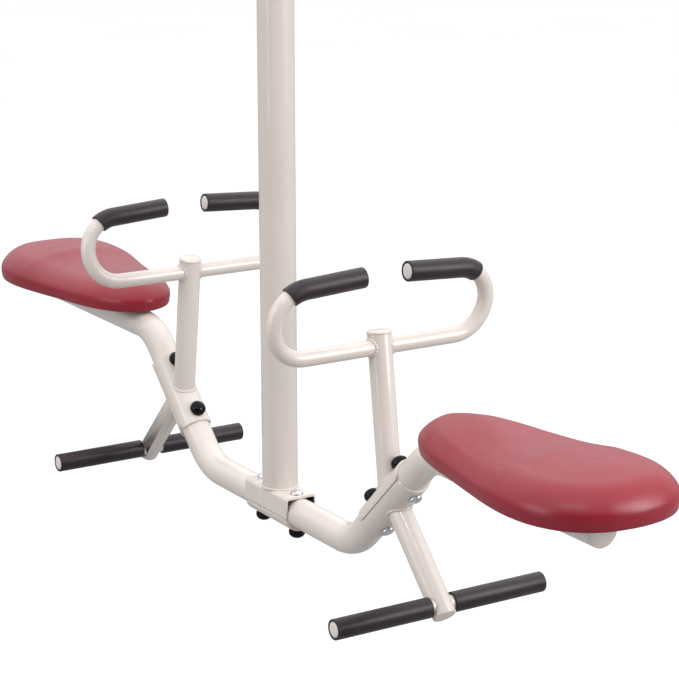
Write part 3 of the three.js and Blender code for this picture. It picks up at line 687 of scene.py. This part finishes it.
def stem(side, s):
    body = solid("look_handlebar_stem_" + side,
                 shell_grid(CLAMP_MID, UP_DIR, UP_NORMAL, CLAMP_LEN, SHELL_T, 0.9), s)
    up = solid("stem", rod(straight(stem_at(98), stem_at(STEM_TOP_Z)), STEM_R, Y, 64, 0.5), s)
    boolean(up, solid("space", tube_space(), s), "DIFFERENCE")
    boolean(body, up, "UNION")
    shell_r = TUBE_R + GAP + SHELL_T
    line = crossing(stem_at(98), STEM_AXIS, STEM_R, CLAMP_MID, UP_DIR, shell_r, out=0.5)
    beads = [solid("weld", bead(line, 2.5), s)]
    for y in (-1, 1):
        ring = crossing(Vector((BAR_X, 0, BAR_Z)), Y * y, BAR_R, stem_at(BAR_Z), STEM_AXIS, STEM_R, out=0.5)
        beads.append(solid("weld", bead(ring, 2.2), s))
    join(body, *beads)
    shade(body)
    glider(body, "handlebar_stem_" + side)
    r = STEM_R + 0.9
    lid = [(0, 5.6), (7, 5.45), (13, 5.0), (r - 2.2, 4.2), (r - 0.8, 3.2), (r, 1.9), (r, 0.5), (r - 0.5, 0),
           (15.8, 0), (15.8, -6), (0, -6)]
    glider(solid("look_stem_cap_" + side, turned(lid, stem_at(STEM_TOP_Z) + STEM_AXIS * GAP, STEM_AXIS), s),
           "stem_cap_" + side)


def handlebar(side, s):
    rise = Vector((math.sin(BAR_TILT), 0, math.cos(BAR_TILT)))
    normal = Y.cross(rise)
    moves = [("s", BAR_STRAIGHT), ("a", BAR_BEND_R, BAR_BEND), ("s", BAR_STRAIGHT - BAR_INNER)]
    half = walk(Vector((BAR_X, 0, BAR_Z)), Y, normal, moves, 44)
    other = [(Vector((p.x, -p.y, p.z)), Vector((-t.x, t.y, -t.z))) for p, t in reversed(half[1:])]
    bar = rod(other + half, BAR_R, normal, 48, 0.5, inner=BAR_R - 2)
    glider(solid("look_handlebar_" + side, bar, s), "handlebar_" + side)
    held = walk(Vector((BAR_X, 0, BAR_Z)), Y, normal,
                [("s", BAR_STRAIGHT), ("a", BAR_BEND_R, BAR_BEND - GRIP_ARC)], 44)[-1]
    grip = walk(held[0], held[1], normal, [("a", BAR_BEND_R, GRIP_ARC), ("s", BAR_STRAIGHT - BAR_INNER)], 60)
    for y, tag in ends_of(s):
        line = [(Vector((p.x, y * p.y, p.z)), Vector((t.x, y * t.y, t.z))) for p, t in grip]
        end, out = line[-1]
        longer = line[:-1] + [(end + out * 2.2, out)]
        name = f"{side}_{tag}"
        sleeve = rod(longer, GRIP_R, normal, 56, 1.1, inner=BAR_R + GAP)
        glider(solid("look_grip_" + name, sleeve, s), "grip_" + name, "black_foam")
        glider(solid("look_grip_plug_" + name, end_plug(end, out), s), "grip_plug_" + name, "white_plug")


def foot_rest(side, s):
    down = -UP_NORMAL
    body = solid("look_footrest_arm_" + side,
                 shell_grid(CLAMP_MID, UP_DIR, down, CLAMP_LEN, SHELL_T, 0.9), s)
    arm = solid("arm", rod(straight(CLAMP_MID + down * 15, FOOT + down * ARM_PAST), STEM_R, Y, 64, 2.6), s)
    boolean(arm, solid("space", tube_space(), s), "DIFFERENCE")
    boolean(body, arm, "UNION")
    line = crossing(CLAMP_MID + down * 15, down, STEM_R, CLAMP_MID, UP_DIR, TUBE_R + GAP + SHELL_T, out=0.5)
    join(body, solid("weld", bead(line, 2.5), s))
    boolean(body, solid("bore", rod(straight(FOOT - Y * 60, FOOT + Y * 60), BAR_R + GAP, X), s), "DIFFERENCE")
    shade(body)
    glider(body, "footrest_arm_" + side)
    bar = rod(straight(FOOT - Y * FOOT_HALF, FOOT + Y * FOOT_HALF), BAR_R, X, 48, 0.4, inner=BAR_R - 2)
    glider(solid("look_foot_bar_" + side, bar, s), "foot_bar_" + side)
    for y, tag in ends_of(s):
        name = f"{side}_{tag}"
        a, b = FOOT + Y * y * (STEM_R + 1.5), FOOT + Y * y * FOOT_HALF
        sleeve = rod(straight(a, b + Y * y * 2.2), GRIP_R, X, 56, 1.1, inner=BAR_R + GAP)
        glider(solid("look_foot_sleeve_" + name, sleeve, s), "foot_sleeve_" + name, "black_foam")
        glider(solid("look_foot_plug_" + name, end_plug(b, Y * y), s), "foot_plug_" + name, "white_plug")


def clamp_hardware(side, s):
    face = (TUBE_R + GAP + SHELL_T) / math.cos(math.pi / 16) + GAP
    for sign, tag in ((-1, "lower"), (1, "upper")):
        q = CLAMP_MID + UP_DIR * (sign * CLAMP_BOLTS / 2)
        name = f"{side}_{tag}"
        bolt = carriage_bolt(q - UP_NORMAL * face, -UP_NORMAL, 11, 6, 2 * face + 7)
        glider(solid("look_clamp_bolt_" + name, bolt, s), "clamp_bolt_" + name, "zinc_plated_steel")
        cap = dome_cap(q + UP_NORMAL * face, UP_NORMAL)
        glider(solid("look_clamp_cap_" + name, cap, s), "clamp_cap_" + name, "black_gloss_cap")


# ---------------------------------------------------------------- seats
# Half width along the seat, nose to rear, as (share of the length, millimetres).
SEAT_PLAN = ((0, 0), (0.012, 22), (0.05, 49), (0.12, 71), (0.22, 88), (0.36, 101), (0.5, 114), (0.62, 124),
             (0.73, 127), (0.82, 121), (0.9, 104), (0.955, 79), (0.985, 50), (0.997, 22), (1, 0))
SEAT_LEN = SEAT_REAR_X - SEAT_NOSE_X
SPINE = (SEAT_NOSE_X + 72, SEAT_REAR_X - 96)
CREASE, RAMP_FROM = 0.63, 0.42              # shares of the length
BOARD_INSET, TOP_INSET = 10, 54
PAD_Z = BOARD_Z + BOARD_T + GAP


def seat_outline(count=240):
    """Smooth closed outline through the plan, evenly spaced."""
    pts = [(SEAT_NOSE_X + t * SEAT_LEN, w) for t, w in SEAT_PLAN]
    pts = np.array(pts + [(x, -y) for x, y in reversed(pts[1:-1])], float)
    dense = []
    for i in range(len(pts)):
        p0, p1, p2, p3 = (pts[(i + k) % len(pts)] for k in (-1, 0, 1, 2))
        d1, d2, d3 = (max(np.linalg.norm(b - a), 1e-6) ** 0.5 for a, b in ((p0, p1), (p1, p2), (p2, p3)))
        m1 = (p1 - p0) / d1 - (p2 - p0) / (d1 + d2) + (p2 - p1) / d2
        m2 = (p2 - p1) / d2 - (p3 - p1) / (d2 + d3) + (p3 - p2) / d3
        for u in np.linspace(0, 1, 24, endpoint=False):
            dense.append((2 * u ** 3 - 3 * u ** 2 + 1) * p1 + (u ** 3 - 2 * u ** 2 + u) * m1 * d2
                         + (3 * u ** 2 - 2 * u ** 3) * p2 + (u ** 3 - u ** 2) * m2 * d2)
    dense = np.array(dense + [dense[0]])
    gone = np.concatenate([[0], np.cumsum(np.linalg.norm(np.diff(dense, axis=0), axis=1))])
    at = np.linspace(0, gone[-1], count, endpoint=False)
    return [Vector((np.interp(a, gone, dense[:, 0]), np.interp(a, gone, dense[:, 1]))) for a in at]


def spine_point(q):
    """The point of the seat's spine that q is drawn towards."""
    return Vector((min(max(q.x, SPINE[0]), SPINE[1]), 0))


def seat_heights():
    """Heights over the pad's base for each share of the length: at the shoulder and down the middle."""
    t = np.linspace(0, 1, 481)
    ramp = np.clip((t - RAMP_FROM) / (CREASE - RAMP_FROM), 0, 1) ** 2.7
    back = np.clip((t - CREASE) / (1 - CREASE), 0, 1)
    dip = np.clip(t / 0.45, 0, 1)
    shoulder = 43 - 3.5 * dip * dip * (3 - 2 * dip) + 7 * ramp + 5.5 * np.sin(back * math.pi / 2) ** 1.3
    middle = 43 + 11.5 * ramp + 1.2 * np.sin(back * math.pi * 0.62)
    kernel = np.exp(-0.5 * (np.arange(-15, 16) / 4.0) ** 2)
    kernel /= kernel.sum()
    smooth = [np.convolve(np.pad(v, 15, mode="edge"), kernel, mode="valid") for v in (shoulder, middle)]
    return t, smooth[0], smooth[1]


# The pad's section as (distance in from the outline, share of the height, millimetres added to it): out
# of the recess for the board, round the wrapped rim and up the side to the top.
PAD_RIM = ((1e4, 0, 0.2), (60, 0, 0.2), (9.6, 0, 0.2), (9.2, 0, -1.5), (9, 0, -6), (8.2, 0, -7.6),
           (6, 0, -8.2), (3.4, 0, -7.7), (1.5, 0, -6.0), (0.5, 0, -3.2))
PAD_SIDE = ((0.0, 0.03, 0), (-0.6, 0.12, 0), (-0.9, 0.22, 0), (-0.3, 0.32, 0), (1.6, 0.415, 0), (4.4, 0.5, 0),
            (8, 0.59, 0), (12.4, 0.68, 0), (17.5, 0.765, 0), (23.5, 0.845, 0), (30, 0.91, 0), (37, 0.957, 0),
            (45, 0.985, 0), (TOP_INSET, 1, 0))
# On the top the distance in is a share of the way from there to the spine.
PAD_TOP = ((0.25, 1, 0), (0.5, 1, 0), (0.75, 1, 0), (1.0, 1, 0))


def cushion_mesh(shrink):
    """Pad as rings of points, each an inset copy of the outline. shrink is taken off its height."""
    t_table, shoulder, middle = seat_heights()
    outline = seat_outline()
    rings = []
    for row, (inset, share, extra) in enumerate(PAD_RIM + PAD_SIDE + PAD_TOP):
        on_top = row >= len(PAD_RIM) + len(PAD_SIDE)
        near = inset if on_top else 0
        ring = []
        for q in outline:
            spine = spine_point(q)
            reach = (q - spine).length
            part = inset / reach
            if on_top:
                top = TOP_INSET / reach
                part = top + (1 - top) * inset if reach > TOP_INSET else 1
            p = q.lerp(spine, min(part, 1))
            t = (p.x - SEAT_NOSE_X) / SEAT_LEN
            s_h, m_h = np.interp(t, t_table, shoulder), np.interp(t, t_table, middle)
            blend = 1 - (1 - near) ** 2
            height = s_h + (m_h - s_h) * blend
            ring.append(Vector((p.x, p.y, PAD_Z + extra + share * (height - shrink))))
        rings.append(ring)
    bm = bmesh.new()
    made = [[bm.verts.new(p) for p in ring] for ring in rings]
    n = len(outline)
    for a, b in zip(made, made[1:]):
        for i in range(n):
            bm.faces.new((a[i], a[(i + 1) % n], b[(i + 1) % n], b[i]))
    bmesh.ops.remove_doubles(bm, verts=bm.verts, dist=0.02)
    bmesh.ops.dissolve_degenerate(bm, edges=bm.edges, dist=0.01)
    return bm


CLOTH_CAP, CLOTH_FRAMES, SWELL_PASSES = 0.0035, 20, 60   # metres, frames, rounds of evening out
START_SHRINK = 1.5                                       # the pad starts this much low, then swells


def puff(obj):
    """Lets the pad's cover swell under a little pressure, with its rim held to the board."""
    start = np.array([v.co for v in obj.data.vertices])
    held = obj.vertex_groups.new(name="held")
    rim = LEVEL + (PAD_Z + 2) * MM
    held.add([v.index for v in obj.data.vertices if v.co.z < rim], 1.0, "REPLACE")
    cloth = obj.modifiers.new("cloth", "CLOTH")
    use = cloth.settings
    use.quality, use.mass = 6, 0.4
    use.tension_stiffness = use.compression_stiffness = 30
    use.shear_stiffness, use.bending_stiffness = 12, 2
    use.use_pressure, use.uniform_pressure_force = True, 4
    use.effector_weights.gravity = 0
    use.vertex_group_mass = "held"
    cloth.collision_settings.use_collision = False
    cloth.collision_settings.use_self_collision = False
    cloth.point_cache.frame_start, cloth.point_cache.frame_end = 1, CLOTH_FRAMES
    for f in range(1, CLOTH_FRAMES + 1):
        scene.frame_set(f)
    graph = bpy.context.evaluated_depsgraph_get()
    moved = np.array([v.co for v in obj.evaluated_get(graph).data.vertices])
    obj.modifiers.remove(cloth)
    scene.frame_set(1)
    normals = np.array([v.normal for v in obj.data.vertices])
    swell = np.clip(((moved - start) * normals).sum(axis=1), 0, CLOTH_CAP)
    ends = np.array([e.vertices[:] for e in obj.data.edges])
    share = np.bincount(ends.ravel(), minlength=len(swell))
    free = start[:, 2] >= rim
    for _ in range(SWELL_PASSES):          # taut cover: evens out the creases of the sim
        near = (np.bincount(ends[:, 0], swell[ends[:, 1]], len(swell))
                + np.bincount(ends[:, 1], swell[ends[:, 0]], len(swell)))
        swell = np.where(free, near / share, 0)
    step = normals * swell[:, None]
    obj.data.vertices.foreach_set("co", (start + step).ravel())
    obj.vertex_groups.clear()
    obj.data.update()


def subdivide(obj, levels=1):
    mod = obj.modifiers.new("fine", "SUBSURF")
    mod.levels = mod.render_levels = levels
    graph = bpy.context.evaluated_depsgraph_get()
    mesh = bpy.data.meshes.new_from_object(obj.evaluated_get(graph))
    obj.modifiers.clear()
    obj.data = mesh


def seats():
    pad = solid("pad", cushion_mesh(START_SHRINK), 1, 60)
    puff(pad)
    subdivide(pad)
    outline = seat_outline(120)
    edge = (q.lerp(spine_point(q), BOARD_INSET / (q - spine_point(q)).length) for q in outline)
    board_line = [(p.x, p.y) for p in edge]
    for side, s in SIDES.items():
        mesh = pad.data.copy()
        if s < 0:
            mesh.transform(Matrix.Rotation(math.pi, 4, "Z"))
        cover = bpy.data.objects.new("look_seat_cushion_" + side, mesh)
        scene.collection.objects.link(cover)
        shade(cover, 70)
        glider(cover, "seat_cushion_" + side, "red_vinyl")
        board = prism(board_line, BOARD_T, lambda a, b, h: Vector((a, b, BOARD_Z + h)), 0.6)
        glider(solid("look_seat_board_" + side, board, s), "seat_board_" + side, "seat_base")
        seat_mount(side, s)
    bpy.data.objects.remove(pad)


def seat_mount(side, s):
    """Welded cradle on the tube, its two bolts, and the plug in the tube's end."""
    top = RISE + TUBE_R + GAP
    plate = prism(box_outline(*CRADLE_X, -CRADLE_HALF, CRADLE_HALF, 8), BOARD_Z - GAP - top,
                  lambda a, b, h: Vector((a, b, top + h)), 0.6)
    cradle = solid("look_seat_cradle_" + side, plate, s)
    parts = []
    for y in (-1, 1):
        inner = y * (TUBE_R + GAP + 2)
        y0, y1 = sorted((inner, inner + y * 4))
        rib = prism(box_outline(575, 835, RISE + TUBE_R - 14, RISE + TUBE_R + 1, 5), y1 - y0,
                    lambda a, b, h, y0=y0: Vector((a, y0 + h, b)), 0.6)
        parts.append(solid("rib", rib, s))
        edge = [Vector((580 + 250 * k / 90, y * (TUBE_R + 1.2), RISE + TUBE_R - 10)) for k in range(91)]
        parts.append(solid("weld", seam(edge, 2.2), s))
    join(cradle, *parts)
    shade(cradle)
    glider(cradle, "seat_cradle_" + side)
    under = RISE + TUBE_R
    for y, tag in ends_of(s):
        bolt = carriage_bolt(Vector((SEAT_BOLT_X, y * SEAT_BOLT_Y, under)), -Z, 9, 5,
                             BOARD_Z + BOARD_T - under - 0.5)
        glider(solid(f"look_seat_bolt_{side}_{tag}", bolt, s), f"seat_bolt_{side}_{tag}", "zinc_plated_steel")
    r = TUBE_R
    plug = [(0, 4.4), (12, 4.2), (r - 3, 3.7), (r - 1, 2.9), (r, 1.8), (r, GAP),
            (21.4, GAP), (21.4, -14), (0, -14)]
    glider(solid("look_seat_tube_cap_" + side, turned(plug, Vector((TUBE_END_X, 0, RISE)), X), s),
           "seat_tube_cap_" + side)


# ---------------------------------------------------------------- build
hanger()
pivot()
post()
centre_clamp()
seat_tube()
for side_name, sign_ in SIDES.items():
    stem(side_name, sign_)
    handlebar(side_name, sign_)
    foot_rest(side_name, sign_)
    clamp_hardware(side_name, sign_)
seats()


# ---------------------------------------------------------------- floor and light
def floor():
    bm = bmesh.new()
    bmesh.ops.create_grid(bm, x_segments=8, y_segments=8, size=60)
    mesh = bpy.data.meshes.new("floor")
    bm.to_mesh(mesh)
    bm.free()
    obj = bpy.data.objects.new("floor", mesh)
    obj.location = (0, 0, FLOOR_Z)
    scene.collection.objects.link(obj)
    m = Nodes("floor_paper", Specular_IOR_Level=0.1)
    m.colour(m.mix(m.spread(m.noise(1.5, 3), 0, 1), (0.77, 0.77, 0.775), (0.755, 0.755, 0.76)))
    m.rough(m.spread(m.noise(30, 2), 0.85, 0.95))
    # Grey paper as far as the swing is concerned, so that its underside keeps its depth.
    path, dull = m.node("LightPath"), m.node("BsdfDiffuse")
    dull.inputs["Color"].default_value = (0.3, 0.3, 0.3, 1)
    choose, end = m.node("MixShader"), m.tree.nodes["Material Output"]
    m.link(path.outputs["Is Camera Ray"], choose.inputs[0])
    m.link(dull.outputs[0], choose.inputs[1])
    m.link(m.shader.outputs[0], choose.inputs[2])
    m.link(choose.outputs[0], end.inputs["Surface"])
    mesh.materials.append(m.mat)


def area(name, at, to, size_x, size_y, power):
    data = bpy.data.lights.new(name, "AREA")
    data.shape, data.size, data.size_y, data.energy = "RECTANGLE", size_x, size_y, power
    obj = bpy.data.objects.new(name, data)
    obj.location = at
    obj.rotation_euler = (Vector(to) - Vector(at)).to_track_quat("-Z", "Y").to_euler()
    scene.collection.objects.link(obj)


FLOOR_Z = LEVEL - 0.34
floor()
# Room light: bright overhead and behind, dim on the side that the photographer stands on.
ROOM_TOP, ROOM_BACK, ROOM_FRONT = 1.4, 0.75, 0.1
FRONT = Vector((0.85, -0.53, 0))
world = bpy.data.worlds.new("studio")
world.use_nodes = True
tree = world.node_tree
heading = tree.nodes.new("ShaderNodeTexCoord").outputs["Generated"]


def room_share(axis, low, high, at_low, at_high):
    """Maps the heading's part along axis, low..high, to at_low..at_high."""
    dot = tree.nodes.new("ShaderNodeVectorMath")
    dot.operation = "DOT_PRODUCT"
    dot.inputs[1].default_value = axis
    tree.links.new(heading, dot.inputs[0])
    ramp = tree.nodes.new("ShaderNodeMapRange")
    for key, number in (("From Min", low), ("From Max", high), ("To Min", at_low), ("To Max", at_high)):
        ramp.inputs[key].default_value = number
    tree.links.new(dot.outputs["Value"], ramp.inputs["Value"])
    return ramp.outputs["Result"]


total = tree.nodes.new("ShaderNodeMath")
tree.links.new(room_share(FRONT, -0.7, 0.7, ROOM_BACK, ROOM_FRONT), total.inputs[0])
tree.links.new(room_share(Z, 0.1, 1.0, 0.0, ROOM_TOP), total.inputs[1])
# The camera itself sees a plain pale wall, whichever way it looks.
wall = tree.nodes.new("ShaderNodeMath")
wall.operation = "MAXIMUM"
tree.links.new(total.outputs[0], wall.inputs[0])
tree.links.new(tree.nodes.new("ShaderNodeLightPath").outputs["Is Camera Ray"], wall.inputs[1])
tree.links.new(wall.outputs[0], tree.nodes["Background"].inputs["Strength"])
tree.nodes["Background"].inputs["Color"].default_value = (1, 1, 1, 1)
scene.world = world
scene.view_settings.view_transform = "Standard"
area("box_right", (3.0, 1.9, LEVEL + 1.5), (0, 0, LEVEL + 0.3), 1.6, 2.2, 76)
area("box_left", (-0.5, -3.6, LEVEL + 1.3), (0, 0, LEVEL + 0.3), 1.4, 2.2, 24)
area("top", (-0.8, 0.8, 1.9), (0, 0, LEVEL), 4, 4, 4)
area("strip", (0.6, -3.2, LEVEL + 0.95), (0.2, 0, LEVEL + 0.95), 0.12, 2.4, 12)
area("strip_high", (1.7, -1.5, LEVEL + 2.7), (0.2, 0, LEVEL + 0.3), 1.8, 0.07, 9)
